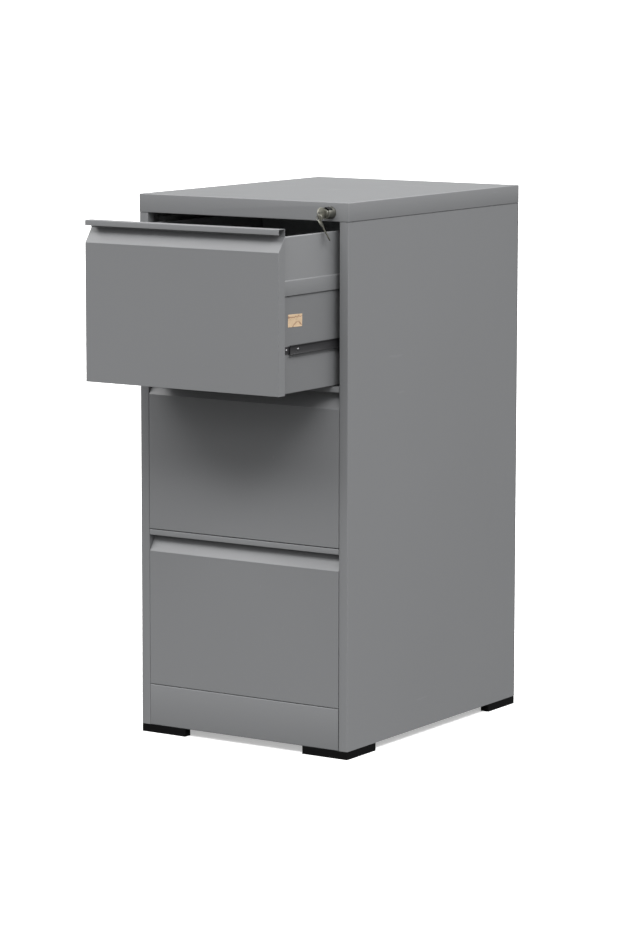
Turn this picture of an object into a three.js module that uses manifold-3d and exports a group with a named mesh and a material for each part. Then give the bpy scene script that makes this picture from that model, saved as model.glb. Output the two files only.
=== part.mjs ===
// Three-drawer upright filing cabinet in folded sheet steel: a welded case on four corner
// feet, three drawers on two-section ball slides, and a push-in lock with its two keys.
// Millimetres, +Z up, +X to the right of the cabinet, +Y towards its back.
// The origin is on the floor, under the middle of the cabinet with its top drawer ajar.

import * as THREE from 'three';
import { mergeVertices } from 'three/addons/utils/BufferGeometryUtils.js';
import Module from 'manifold-3d';

const wasm = await Module();
wasm.setup();

// ---------------------------------------------------------------- driving dimensions

const WIDTH = 468;
const DEPTH = 616;
const HEIGHT = 1030;
const SHEET = 0.8;
const GAP = 0.3;
const AJAR = 197.7;
const FRONT_Y = (AJAR - DEPTH) / 2;

const CASE_HALF = WIDTH / 2 - 1;
const OPENING_HALF = 214;
const FOOT_HEIGHT = 15;
const FOOT_LEG = 100;
const FOOT_WIDTH = 18.5;
const PLINTH_TOP = 93.8;
const CAP_HEIGHT = 35;
const CAP_FLANGE = 16;
const STILE_RETURN = 20;
const BACK_FLANGE = 18;

const FIRST_BASE = 94;
const PITCH = 300;
const FRONT_HALF = 213.25;
const FRONT_DEPTH = 20;
const TRAY_HALF = 201;
const TRAY_END = 563;
const TRAY_TOP = 283.2;
const RIB = { low: 176.7, high: 205.3, proud: 3 };
const HEM = { width: 10, drop: 8 };

const SLIDE_Z = 80;
const SLIDE_START = 42;
const SLIDE_LENGTH = 500;
const INNER_HEIGHT = 18;
const OUTER_HEIGHT = 27;
const CAGE_START = 232;
const CAGE_LENGTH = 120;

const POST_DEPTHS = { front: 60, rear: 480 };
const POST_WIDTH = 36;

const LOCK_X = 195;
const LOCK_Z = 1011;
const BARREL_RADIUS = 11;
const BARREL_OUT = 20;
const BAR_DEPTH = 585;
const BAR_HALF = 7;
const HOOK = { z: 266, start: 574, thickness: 4, drop: 11 };
const CATCH_Z = 250;

// ---------------------------------------------------------------- materials

const finish = (color, roughness, metalness) => ({ color, roughness, metalness });
const FINISHES = {
  paint: finish(0x828385, 0.5, 0.1),
  zinc: finish(0xb8bcc0, 0.35, 0.9),
  slideBlack: finish(0x1c1c1e, 0.4, 0.6),
  foot: finish(0x161617, 0.6, 0.0),
  chrome: finish(0xb9b9b2, 0.2, 1.0),
  keySteel: finish(0xa9a79c, 0.3, 1.0),
  paper: finish(0xcdaf8c, 0.85, 0.0),
  cage: finish(0xc9ccd0, 0.4, 0.8),
};

// ---------------------------------------------------------------- solids

// A closed geometry as a manifold solid.
function solidOf(geometry) {
  let bare = geometry.index ? geometry.toNonIndexed() : geometry.clone();
  bare.deleteAttribute('normal');
  bare.deleteAttribute('uv');
  bare = mergeVertices(bare, 1e-4);
  const vertProperties = new Float32Array(bare.attributes.position.array);
  const triVerts = new Uint32Array(bare.index.array);
  return new wasm.Manifold(new wasm.Mesh({ numProp: 3, vertProperties, triVerts }));
}

// A manifold solid as a geometry.
function geometryOf(solid) {
  const { vertProperties, triVerts } = solid.getMesh();
  const geometry = new THREE.BufferGeometry();
  geometry.setAttribute('position', new THREE.BufferAttribute(vertProperties, 3));
  geometry.setIndex(new THREE.BufferAttribute(triVerts, 1));
  geometry.computeVertexNormals();
  return geometry;
}

function join(...geometries) {
  return geometryOf(geometries.map(solidOf).reduce((all, next) => all.add(next)));
}

function cut(geometry, ...tools) {
  return geometryOf(tools.map(solidOf).reduce((rest, tool) => rest.subtract(tool), solidOf(geometry)));
}

// A box between two corners.
function block([x0, x1], [y0, y1], [z0, z1]) {
  const geometry = new THREE.BoxGeometry(x1 - x0, y1 - y0, z1 - z0);
  return geometry.translate((x0 + x1) / 2, (y0 + y1) / 2, (z0 + z1) / 2);
}

function extrude(outline, length, u, v, w, origin) {
  const shape = new THREE.Shape(outline.map(([a, b]) => new THREE.Vector2(a, b)));
  const geometry = new THREE.ExtrudeGeometry(shape, { depth: length, bevelEnabled: false });
  geometry.applyMatrix4(new THREE.Matrix4().makeBasis(u, v, w));
  return geometry.translate(...origin);
}

const X = new THREE.Vector3(1, 0, 0);
const Y = new THREE.Vector3(0, 1, 0);
const Z = new THREE.Vector3(0, 0, 1);
const MINUS_Y = new THREE.Vector3(0, -1, 0);

// An outline in (y, z) drawn along X, one in (x, z) along Y, and one in (x, y) along Z.
const alongX = (outline, [x0, x1]) => extrude(outline, x1 - x0, Y, Z, X, [x0, 0, 0]);
const alongY = (outline, [y0, y1]) => extrude(outline, y1 - y0, X, Z, MINUS_Y, [0, y1, 0]);
const alongZ = (outline, [z0, z1]) => extrude(outline, z1 - z0, X, Y, Z, [0, 0, z0]);

// The section of a folded sheet: a path and the same path moved to its right by the gauge.
function folded(path, gauge = SHEET) {
  const points = path.map(([a, b]) => new THREE.Vector2(a, b));
  const rights = points.slice(1).map((point, i) => {
    const way = point.clone().sub(points[i]).normalize();
    return new THREE.Vector2(way.y, -way.x);
  });
  const moved = points.map((point, i) => {
    const before = rights[Math.max(i - 1, 0)];
    const after = rights[Math.min(i, rights.length - 1)];
    const mitre = before.clone().add(after);
    return point.clone().addScaledVector(mitre, gauge / (1 + before.dot(after)));
  });
  return [...points, ...moved.reverse()].map((point) => [point.x, point.y]);
}

const mirrored = (path) => [...path.map(([a, b]) => [-a, b]).reverse(), ...path];
const flipped = (path, side) => path.map(([a, b]) => [side * a, b]);

// A round bar along Y, centred on the local axis.
function barAlongY(radius, [y0, y1], segments = 32) {
  return new THREE.CylinderGeometry(radius, radius, y1 - y0, segments).translate(0, (y0 + y1) / 2, 0);
}

// A profile of (radius, y) points turned about the local Y axis.
function turned(profile, segments = 32) {
  return new THREE.LatheGeometry(profile.map(([r, y]) => new THREE.Vector2(r, y)), segments);
}

function part(name, geometry, kind) {
  const mesh = new THREE.Mesh(geometry, new THREE.MeshStandardMaterial(FINISHES[kind]));
  mesh.name = name;
  return mesh;
}

// ---------------------------------------------------------------- case

// A side wraps round into the front stile and the rear flange.
function sidePanel(side) {
  const end = DEPTH - SHEET - GAP;
  const path = [
    [OPENING_HALF, STILE_RETURN],
    [OPENING_HALF, 0],
    [CASE_HALF, 0],
    [CASE_HALF, end],
    [CASE_HALF - BACK_FLANGE, end],
  ];
  const section = flipped(folded(path, -SHEET), side);
  return alongZ(section, [FOOT_HEIGHT + GAP, HEIGHT - CAP_HEIGHT - GAP]);
}

// A shallow lid with a flange turned in round its lower edge and a hole for the lock.
function topCap() {
  const low = HEIGHT - CAP_HEIGHT;
  const half = WIDTH / 2;
  const shell = block([-half, half], [0, DEPTH], [low, HEIGHT]);
  const hollow = block(
    [SHEET - half, half - SHEET],
    [SHEET, DEPTH - SHEET],
    [low + SHEET, HEIGHT - SHEET],
  );
  const mouth = block(
    [CAP_FLANGE - half, half - CAP_FLANGE],
    [CAP_FLANGE, DEPTH - CAP_FLANGE],
    [low - 5, low + 5],
  );
  const hole = barAlongY(BARREL_RADIUS + 0.4, [-5, 5]).translate(LOCK_X, 0, LOCK_Z);
  return cut(shell, hollow, mouth, hole);
}

function backPanel() {
  return block(
    [-CASE_HALF, CASE_HALF],
    [DEPTH - SHEET, DEPTH],
    [FOOT_HEIGHT + GAP, HEIGHT - CAP_HEIGHT - GAP],
  );
}

// A floor pan with upturned edges, inside the sides and the back.
function basePan() {
  const half = CASE_HALF - SHEET - GAP;
  const floor = FOOT_HEIGHT + GAP;
  const ends = [STILE_RETURN + 2 * GAP, DEPTH - 3 * SHEET - 2 * GAP];
  const edge = 25;
  const tray = block([-half, half], ends, [floor, floor + edge]);
  const hollow = block(
    [SHEET - half, half - SHEET],
    [ends[0] + SHEET, ends[1] - SHEET],
    [floor + SHEET, floor + edge + 1],
  );
  return cut(tray, hollow);
}

// A channel that fills the front between the stiles under the bottom drawer.
function plinthPanel() {
  const path = [
    [STILE_RETURN, FOOT_HEIGHT + GAP],
    [0, FOOT_HEIGHT + GAP],
    [0, PLINTH_TOP],
    [STILE_RETURN, PLINTH_TOP],
  ];
  return alongX(folded(path), [GAP - OPENING_HALF, OPENING_HALF - GAP]);
}

// An L-shaped pad under one corner.
function cornerFoot(side, rear) {
  const depthAt = (distance) => (rear ? DEPTH - distance : distance);
  const outline = [
    [0, 0],
    [FOOT_LEG, 0],
    [FOOT_LEG, FOOT_WIDTH],
    [FOOT_WIDTH, FOOT_WIDTH],
    [FOOT_WIDTH, FOOT_LEG],
    [0, FOOT_LEG],
  ];
  const placed = outline.map(([a, b]) => [side * (CASE_HALF - a), depthAt(b)]);
  return alongZ(placed, [0, FOOT_HEIGHT]);
}

// An upright channel, open towards the side panel, that carries the slides.
function slidePost(side, start) {
  const wall = CASE_HALF - SHEET - GAP;
  const path = [
    [wall, start],
    [OPENING_HALF, start],
    [OPENING_HALF, start + POST_WIDTH],
    [wall, start + POST_WIDTH],
  ];
  return alongZ(flipped(folded(path), side), [45, 985]);
}

// ---------------------------------------------------------------- ball slides

// The fixed member: a channel on the posts, open towards the drawer.
function caseSlide(side, base) {
  const web = OPENING_HALF - GAP;
  const lip = TRAY_HALF + 4.5;
  const half = OUTER_HEIGHT / 2;
  const mid = base + SLIDE_Z;
  const path = [
    [lip, mid - half],
    [web, mid - half],
    [web, mid + half],
    [lip, mid + half],
  ];
  const section = flipped(folded(path, -SHEET), side);
  return alongY(section, [SLIDE_START, SLIDE_START + SLIDE_LENGTH]);
}

// The moving member: a channel on the drawer, open outwards, with a narrow flat tab in front.
function drawerSlide(side) {
  const web = TRAY_HALF + GAP;
  const lip = TRAY_HALF + 6.5;
  const half = INNER_HEIGHT / 2;
  const tab = { start: 36, end: 58, half: 6.65 };
  const channelStart = 55;
  const path = [
    [lip, SLIDE_Z - half],
    [web, SLIDE_Z - half],
    [web, SLIDE_Z + half],
    [lip, SLIDE_Z + half],
  ];
  const section = flipped(folded(path), side);
  const channel = alongY(section, [channelStart, SLIDE_START + SLIDE_LENGTH]);
  const faces = [side * web, side * (web + SHEET)].sort((a, b) => a - b);
  const front = block(faces, [tab.start, tab.end], [SLIDE_Z - tab.half, SLIDE_Z + tab.half]);
  return join(channel, front);
}

// The ball retainer between the two members: it travels half as far as the drawer.
function ballCage(side) {
  const web = TRAY_HALF + 9.3;
  const lip = TRAY_HALF + 4.8;
  const rowThickness = 2.4;
  const half = 11.9;
  const path = [
    [lip, SLIDE_Z - half],
    [web, SLIDE_Z - half],
    [web, SLIDE_Z + half],
    [lip, SLIDE_Z + half],
  ];
  const section = flipped(folded(path, -rowThickness), side);
  return alongY(section, [CAGE_START, CAGE_START + CAGE_LENGTH]);
}

// ---------------------------------------------------------------- drawer

// A pressed front: flat face, sloped finger recess, and a hooked lip along the top.
function drawerFront() {
  const foot = 1.2;
  const faceTop = 258;
  const slopeTop = 285;
  const wall = FRONT_DEPTH - SHEET;
  const underLid = 299.5 - SHEET;
  const lipFoot = 289.6;
  const skin = folded([
    [wall, foot],
    [0, foot],
    [0, faceTop],
    [wall, slopeTop],
    [wall, underLid],
    [SHEET, underLid],
    [SHEET, lipFoot],
  ]);
  const inset = 0.4;
  const end = [
    [inset, foot + inset],
    [FRONT_DEPTH - inset, foot + inset],
    [FRONT_DEPTH - inset, slopeTop - inset],
    [inset, faceTop - inset],
  ];
  const inner = FRONT_HALF - SHEET;
  return join(
    alongX(skin, [-FRONT_HALF, FRONT_HALF]),
    alongX(end, [-FRONT_HALF, -inner]),
    alongX(end, [inner, FRONT_HALF]),
  );
}

// The flat sheet that closes the back of the front panel.
function frontLiner() {
  const half = FRONT_HALF - SHEET - GAP;
  return block([-half, half], [FRONT_DEPTH - SHEET, FRONT_DEPTH], [2.8, 279]);
}

// Bottom and sides in one sheet: a raised rib along each side and a hem for hanging files.
function drawerTray() {
  const path = [
    [TRAY_HALF, 1.3],
    [TRAY_HALF, RIB.low],
    [TRAY_HALF + RIB.proud, RIB.low],
    [TRAY_HALF + RIB.proud, RIB.high],
    [TRAY_HALF, RIB.high],
    [TRAY_HALF, TRAY_TOP],
    [TRAY_HALF - HEM.width, TRAY_TOP],
    [TRAY_HALF - HEM.width, TRAY_TOP - HEM.drop],
  ];
  return alongY(folded(mirrored(path), -SHEET), [FRONT_DEPTH + GAP, TRAY_END]);
}

function drawerBack() {
  const start = TRAY_END + GAP;
  return block([-TRAY_HALF, TRAY_HALF], [start, start + SHEET], [1.3, TRAY_TOP]);
}

// A shelf behind the drawer with an upturned lip, which the lock bar's hook drops in front of.
function lockCatch() {
  const start = TRAY_END + SHEET + 2 * GAP;
  const lip = 582;
  const path = [
    [start, CATCH_Z - 12],
    [start, CATCH_Z],
    [lip - SHEET, CATCH_Z],
    [lip - SHEET, CATCH_Z + 8],
  ];
  return alongX(folded(path), [LOCK_X - BAR_HALF, LOCK_X + 6]);
}

// A small paper label stuck slightly askew on the drawer's right side.
function stickyLabel() {
  const face = TRAY_HALF + GAP;
  const label = block([face, face + 0.4], [-24.25, 24.25], [-11.4, 11.4]);
  return label.rotateX(THREE.MathUtils.degToRad(-1.5)).translate(0, 70.75, 131.75);
}

function drawer(number, base) {
  const group = new THREE.Group();
  const name = `drawer_${number}`;
  group.position.set(0, number === 1 ? -AJAR : 0, base);
  group.add(part(`${name}_front`, drawerFront(), 'paint'));
  group.add(part(`${name}_front_liner`, frontLiner(), 'paint'));
  group.add(part(`${name}_tray`, drawerTray(), 'paint'));
  group.add(part(`${name}_back`, drawerBack(), 'paint'));
  group.add(part(`${name}_slide_left`, drawerSlide(-1), 'slideBlack'));
  group.add(part(`${name}_slide_right`, drawerSlide(1), 'slideBlack'));
  group.add(part(`${name}_catch`, lockCatch(), 'zinc'));
  return group;
}

function cages(number, base) {
  const group = new THREE.Group();
  group.position.set(0, number === 1 ? -AJAR / 2 : 0, base);
  group.add(part(`ball_cage_${number}_left`, ballCage(-1), 'cage'));
  group.add(part(`ball_cage_${number}_right`, ballCage(1), 'cage'));
  return group;
}

// ---------------------------------------------------------------- lock
// Everything here is about the lock's axis, with y = 0 at the face of the cap.

const HOUSING = { start: SHEET + GAP, end: 34, inner: BARREL_RADIUS + 0.4, outer: 13.4 };
const ROD_RADIUS = 4;
const BARREL_END = 8;
const BORE = { radius: 7.9, end: 3 };
const KEYWAY = { half: 1.25, high: 3.6 };
const KEY = { thickness: 1.8, blade: 6, bow: 11.8, hole: 2.6, bowCentre: -32.7, eye: -41 };
const RING = { radius: 6, wire: 0.5, z: -7.4 };
const SPARE = { bow: 9.5, hole: 3, wall: 1, rollDegrees: 9 };

// The tube behind the cap that guides the barrel, with a rear wall for the spring.
function lockHousing() {
  const { start, end, inner, outer } = HOUSING;
  const flange = 3;
  return turned([
    [inner, start],
    [outer + 1, start],
    [outer + 1, start + flange],
    [outer, start + flange],
    [outer, end],
    [ROD_RADIUS + 0.6, end],
    [ROD_RADIUS + 0.6, end - SHEET],
    [inner, end - SHEET],
    [inner, start],
  ]);
}

// The barrel, its long rod under the cap, and the wedge that drives the lock bar.
function lockPlunger() {
  const barrel = turned([
    [0, BORE.end],
    [BORE.radius, BORE.end],
    [BORE.radius, -BARREL_OUT],
    [BARREL_RADIUS - 0.8, -BARREL_OUT],
    [BARREL_RADIUS, 0.8 - BARREL_OUT],
    [BARREL_RADIUS, BARREL_END],
    [0, BARREL_END],
  ]);
  const rod = barAlongY(ROD_RADIUS, [BARREL_END - 1, 550], 16);
  const wedge = alongX([[548, -7], [561, -7], [575, 7], [548, 7]], [-5, 5]);
  return join(barrel, rod, wedge);
}

function lockSpring() {
  const turns = 5;
  const coil = { radius: 7, wire: 0.9 };
  const ends = [BARREL_END + coil.wire + GAP, HOUSING.end - SHEET - coil.wire - GAP];
  class Helix extends THREE.Curve {
    getPoint(t) {
      const angle = 2 * Math.PI * turns * t;
      const y = THREE.MathUtils.lerp(ends[0], ends[1], t);
      return new THREE.Vector3(coil.radius * Math.cos(angle), y, coil.radius * Math.sin(angle));
    }
  }
  const wire = new THREE.Shape();
  wire.absarc(0, 0, coil.wire, 0, 2 * Math.PI);
  const options = { steps: turns * 14, extrudePath: new Helix(), curveSegments: 6 };
  return new THREE.ExtrudeGeometry(wire, options);
}

// The turning plug with its keyway.
function lockPlug() {
  const body = barAlongY(BORE.radius - GAP, [-BARREL_OUT - 0.6, BORE.end - GAP], 28);
  const keyway = block([-KEYWAY.half, KEYWAY.half], [-40, 1], [-KEYWAY.high, KEYWAY.high]);
  return cut(body, keyway);
}

// A flat key: a round bow with a hole, a shoulder, and a notched blade.
// It lies in (along, across), bow centre at the origin, blade towards +along.
function keyOutline(bow, tip) {
  const half = KEY.blade / 2;
  const neck = Math.sqrt(bow * bow - half * half);
  const start = Math.atan2(half, neck);
  const shape = new THREE.Shape();
  shape.absarc(0, 0, bow, start, -start, false);
  shape.lineTo(tip - half, -half);
  shape.lineTo(tip, -half / 3);
  shape.lineTo(tip, half / 3);
  shape.lineTo(tip - half, half);
  const teeth = 4;
  const from = tip - half;
  const step = (tip - bow - 6) / teeth;
  for (let i = 0; i < teeth; i += 1) {
    const at = from - step * (i + 0.5);
    const bite = i % 2 ? 0.9 : 1.5;
    shape.lineTo(at + step / 4, half);
    shape.lineTo(at, half - bite);
    shape.lineTo(at - step / 4, half);
  }
  return shape;
}

function flatKey(bow, tip, holeAt, hole) {
  const shape = keyOutline(bow, tip);
  const eye = new THREE.Path();
  eye.absarc(holeAt, 0, hole, 0, 2 * Math.PI, true);
  shape.holes.push(eye);
  const options = { depth: KEY.thickness, bevelEnabled: false, curveSegments: 20 };
  const geometry = new THREE.ExtrudeGeometry(shape, options);
  return geometry.translate(0, 0, -KEY.thickness / 2);
}

// The working key: blade in the keyway, bow upright in front of the lock.
function insertedKey() {
  const key = flatKey(KEY.bow, -KEY.bowCentre - 1, KEY.eye - KEY.bowCentre, KEY.hole);
  key.applyMatrix4(new THREE.Matrix4().makeBasis(Y, Z, X));
  return key.translate(0, KEY.bowCentre, 0);
}

function keyRing() {
  return new THREE.TorusGeometry(RING.radius, RING.wire, 8, 28)
    .rotateX(Math.PI / 2)
    .translate(0, KEY.eye, RING.z);
}

// The spare key hangs on the ring and leans outwards over the open drawer's side.
const SPARE_TOP = new THREE.Vector3(-1.1, -41.4, -11);
const SPARE_TIP = new THREE.Vector3(18.9, -33.1, -51);

function spareKey() {
  const along = SPARE_TIP.clone().sub(SPARE_TOP);
  const length = along.length();
  along.normalize();
  const across = new THREE.Vector3(-0.542, 0.828, -0.141);
  across.addScaledVector(along, -across.dot(along)).normalize();
  across.applyAxisAngle(along, THREE.MathUtils.degToRad(SPARE.rollDegrees));
  const normal = along.clone().cross(across);
  const key = flatKey(SPARE.bow, length - SPARE.bow, SPARE.wall + SPARE.hole - SPARE.bow, SPARE.hole);
  key.translate(SPARE.bow, 0, 0);
  key.applyMatrix4(new THREE.Matrix4().makeBasis(along, across, normal));
  return key.translate(...SPARE_TOP.toArray());
}

function lock() {
  const group = new THREE.Group();
  group.position.set(LOCK_X, 0, LOCK_Z);
  group.add(part('lock_housing', lockHousing(), 'zinc'));
  group.add(part('lock_plunger', lockPlunger(), 'chrome'));
  group.add(part('lock_spring', lockSpring(), 'keySteel'));
  group.add(part('lock_plug', lockPlug(), 'chrome'));
  group.add(part('key', insertedKey(), 'keySteel'));
  group.add(part('key_ring', keyRing(), 'keySteel'));
  group.add(part('spare_key', spareKey(), 'keySteel'));
  return group;
}

const DRAWER_BASES = [2, 1, 0].map((row) => FIRST_BASE + PITCH * row);

// A flat strip behind the drawers, with a sloped head under the wedge.
function lockBar() {
  const across = [LOCK_X - BAR_HALF, LOCK_X + BAR_HALF];
  const back = BAR_DEPTH + 3;
  const head = { start: 571, corner: 579, low: 995, foot: 1003 };
  const slope = LOCK_Z - 569;
  const wedge = alongX(
    [
      [head.start, head.start + slope],
      [head.corner, head.corner + slope],
      [back, head.corner + slope],
      [back, head.low],
      [BAR_DEPTH, head.low],
      [BAR_DEPTH, head.foot],
      [head.start, head.foot],
    ],
    across,
  );
  const strip = block(across, [BAR_DEPTH, back], [DRAWER_BASES[2] + HOOK.z - 6, head.low + 5]);
  return join(strip, wedge);
}

// An L-shaped hook riveted to the strip, over a drawer's catch.
function lockHook(base) {
  const { start, thickness, drop } = HOOK;
  const low = base + HOOK.z;
  const end = BAR_DEPTH - GAP;
  const outline = [
    [start, low],
    [start + thickness, low],
    [start + thickness, low + drop - thickness],
    [end, low + drop - thickness],
    [end, low + drop],
    [start, low + drop],
  ];
  return alongX(outline, [LOCK_X - BAR_HALF + 0.5, LOCK_X + BAR_HALF - 0.5]);
}

// A hat-shaped clip on the back panel that keeps the bar upright.
function lockBarGuide() {
  const foot = DEPTH - SHEET - GAP;
  const bridge = BAR_DEPTH - 2.4;
  const half = BAR_HALF + 2;
  const path = [
    [-half - 8, foot - SHEET],
    [-half, foot - SHEET],
    [-half, bridge],
    [half, bridge],
    [half, foot - SHEET],
    [half + 6, foot - SHEET],
  ];
  const section = folded(path, -SHEET).map(([a, b]) => [a + LOCK_X, b]);
  return alongZ(section, [500, 530]);
}

// ---------------------------------------------------------------- assembly

const cabinet = new THREE.Group();
cabinet.position.y = FRONT_Y;

const SIDES = { left: -1, right: 1 };

for (const [word, side] of Object.entries(SIDES)) {
  cabinet.add(part(`${word}_side_panel`, sidePanel(side), 'paint'));
  cabinet.add(part(`foot_front_${word}`, cornerFoot(side, false), 'foot'));
  cabinet.add(part(`foot_rear_${word}`, cornerFoot(side, true), 'foot'));
  for (const [place, start] of Object.entries(POST_DEPTHS)) {
    cabinet.add(part(`slide_post_${place}_${word}`, slidePost(side, start), 'paint'));
  }
}
cabinet.add(part('back_panel', backPanel(), 'paint'));
cabinet.add(part('top_cap', topCap(), 'paint'));
cabinet.add(part('base_pan', basePan(), 'paint'));
cabinet.add(part('plinth_panel', plinthPanel(), 'paint'));

DRAWER_BASES.forEach((base, index) => {
  const number = index + 1;
  for (const [word, side] of Object.entries(SIDES)) {
    cabinet.add(part(`case_slide_${number}_${word}`, caseSlide(side, base), 'slideBlack'));
  }
  cabinet.add(drawer(number, base));
  cabinet.add(cages(number, base));
  cabinet.add(part(`lock_hook_${number}`, lockHook(base), 'zinc'));
});

const labelled = new THREE.Group();
labelled.position.set(0, -AJAR, DRAWER_BASES[0]);
labelled.add(part('side_label', stickyLabel(), 'paper'));
cabinet.add(labelled);

cabinet.add(lock());
cabinet.add(part('lock_bar', lockBar(), 'zinc'));
cabinet.add(part('lock_bar_guide', lockBarGuide(), 'zinc'));

export default cabinet;
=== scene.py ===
# The looks of an upright steel filing cabinet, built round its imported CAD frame.
# Frame: metres, +X to the cabinet's right, +Y to its back, +Z up. Sections are drawn in millimetres.

import math

import bmesh
import bpy
from mathutils import Matrix, Vector


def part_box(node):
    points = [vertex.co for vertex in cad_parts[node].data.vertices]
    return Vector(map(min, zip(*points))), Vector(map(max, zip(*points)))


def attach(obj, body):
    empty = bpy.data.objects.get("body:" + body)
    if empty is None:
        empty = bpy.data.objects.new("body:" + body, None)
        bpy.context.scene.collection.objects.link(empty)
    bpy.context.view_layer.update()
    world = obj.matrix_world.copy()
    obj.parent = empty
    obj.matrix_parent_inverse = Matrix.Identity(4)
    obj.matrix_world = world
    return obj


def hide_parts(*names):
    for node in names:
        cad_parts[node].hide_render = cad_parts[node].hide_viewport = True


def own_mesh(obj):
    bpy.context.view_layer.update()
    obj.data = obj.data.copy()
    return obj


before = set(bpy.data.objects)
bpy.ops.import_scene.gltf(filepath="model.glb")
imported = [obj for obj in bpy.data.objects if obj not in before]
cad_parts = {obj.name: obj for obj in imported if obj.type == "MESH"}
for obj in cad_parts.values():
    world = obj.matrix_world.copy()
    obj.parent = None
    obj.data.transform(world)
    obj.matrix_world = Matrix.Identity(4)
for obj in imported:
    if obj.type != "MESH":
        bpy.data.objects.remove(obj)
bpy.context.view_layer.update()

MM = 0.001

# ---------------------------------------------------------------- driving dimensions, in mm


def box_mm(node):
    """The low and high corners of a CAD node."""
    low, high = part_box(node)
    return low / MM, high / MM


CAP_FRAME = box_mm("top_cap")
SIDE_FRAME = box_mm("right_side_panel")
FRONT_Y = CAP_FRAME[0].y
BACK_Y = CAP_FRAME[1].y
CAP_HALF = CAP_FRAME[1].x
CAP_LOW = CAP_FRAME[0].z
CAP_HIGH = CAP_FRAME[1].z
CASE_HALF = SIDE_FRAME[1].x
OPENING_HALF = SIDE_FRAME[0].x
CASE_LOW = SIDE_FRAME[0].z
CASE_HIGH = SIDE_FRAME[1].z
DRAWERS = (1, 2, 3)
SIDES = {"left": -1, "right": 1}
CORNERS = ("front_left", "front_right", "rear_left", "rear_right")

# all folded sheet: its gauge, and the radius inside a bend
SHEET = 0.9
BEND = 0.5
BEND_STEPS = 4
SMOOTH_ANGLE = 32

# side panels, cap and plinth
STILE_RETURN = 20.0
REAR_FLANGE = 18.0
BACK_INSET = 1.6
CAP_TURN_IN = 16.0
CAP_TOP_SEAM = 14.0
CAP_CORNER = 1.8
LOCK_HOLE = 11.35
PLINTH_RETURN = 20.0
PLINTH_GAP = 0.6

# back panel, with its two pressed fields and its rivets, whose dome is (radius, out) points
BACK_BORDER = 45.0
BACK_FIELD_ENDS = (495.0, 535.0)
BACK_PRESS = 2.2
BACK_EASE = 7.0
RIVETS = 9
RIVET_INSET = 11.0
RIVET_END = 28.0
RIVET_DOME = ((0, 0.9), (1.2, 0.82), (2.2, 0.45), (2.6, 0.0), (2.6, -0.6), (0, -0.6))

# feet: the width of each leg of the L, and the radii of its corners
FOOT_WIDTH = 18.5
FOOT_NOSE = 1.6
FOOT_INNER = 3.0

# drawers: heights are from the foot of the drawer's face
FACE_TOP = 256.8
SLOPE_TOP = 283.8
LIP_FOOT = 288.4
PANEL_DEPTH = 20.0
LIP_BEND = 0.35
TRAY_RIB = (175.5, 204.1)
TRAY_RIB_DEPTH = 3.0
TRAY_RIB_EASE = 0.6
TRAY_HEM = 10.0
TRAY_HEM_DROP = 8.0
TRAY_BEND = 0.7

# slides: the case's rail, the drawer's channel with its tab, and screws as (radius, out) points
RAIL_HALF = 13.5
RAIL_DEPTH = 8.2
RAIL_GAUGE = 1.2
RAIL_BEND = 1.6
CHANNEL_HALF = 8.7
CHANNEL_RAISED = 2.4
CHANNEL_RIM = 5.8
CHANNEL_BEND = 0.7
TAB_LENGTH = 13.5
TAB_OVERLAP = 6.0
TAB_HALF = 6.65
TAB_CORNER = 3.0
TAB_SCREW = 4.6
CHANNEL_SCREWS = (39.0, 230.0, 480.0)
SCREW_HEAD = (
    (0, 0.7), (0.5, 0.75), (0.6, 1.5), (1.5, 1.35), (2.2, 0.95),
    (2.6, 0.4), (2.65, 0.0), (1.5, -0.1), (0, -0.1),
)

# ball cages
CAGE_HALF = 11.1
CAGE_GAUGE = 0.7
CAGE_BEND = 0.6
CAGE_EDGE = 0.6
BALLS_A_ROW = 10
BALL_PITCH = 12.0
BALL_ROW = 10.7
BALL_DEPTH = 2.2
BALL_RADIUS = 1.45

# label: degrees of tilt, and how far it lifts off the drawer's side
LABEL_TILT = -1.5
LABEL_BURIED = 0.2
LABEL_PROUD = 0.05
LABEL_REAR_LIFT = 0.35
LABEL_LOW_LIFT = 0.8

# lock: profiles are (radius, behind the face) points, and the pad's arcs are a radius and two angles;
# the bore's floor and the barrel's end are behind the front of the cap
BARREL_RADIUS = 11.0
BARREL_END = 8.0
BORE_RADIUS = 7.9
BORE_FLOOR = 3.0
BARREL_MOUTH = (
    (BORE_RADIUS, 0.7), (8.4, 0.1), (8.9, 0.0), (10.5, 0.0), (10.85, 0.15), (BARREL_RADIUS, 0.5),
)
BARREL_GROOVE = ((BARREL_RADIUS, 15.2), (10.7, 15.6), (10.7, 16.6), (BARREL_RADIUS, 17.0))
PAD_OUTER = (11.1, 30, 93)
PAD_INNER = (8.0, 82, 40)
PAD_LENGTH = 12.0
PLUG_RADIUS = 7.55
PLUG_FACE = ((0, 0.0), (6.2, 0.0), (7.0, 0.25), (PLUG_RADIUS, 0.9))
KEYWAY_HALF = (1.25, 3.6)
ROD_RADIUS = 4.0
WEDGE_LENGTH = 26.0
WEDGE_SLOPE = 14.0
WEDGE_HALF = (5.0, 7.0)
SPRING_TURNS = 5
SPRING_WIRE = 0.9

# keys and ring: an eye is its place from the bow's centre, along the key, and its radius;
# the spare key's places are from the lock's axis on the front of the cap
KEY_BLADE = 6.0
KEY_SHOULDER = 3.0
KEY_NOTCHES = (1.5, 0.9, 1.5, 0.9)
KEY_EASE = 0.18
KEY_EYE = (-8.3, 2.6)
KEY_GAUGE = 1.8
SPARE_TOP = (1.0, -41.4, -9.5)
SPARE_TIP = (20.0, -33.4, -47.5)
SPARE_ACROSS = (-0.542, 0.828, -0.141)
SPARE_BOW = 9.0
SPARE_EYE = (-5.0, 3.0)
SPARE_ROLL = 16
RING_WIRE = 0.5
RING_LEAN = (1.5, 0.0, 0.2)

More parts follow.
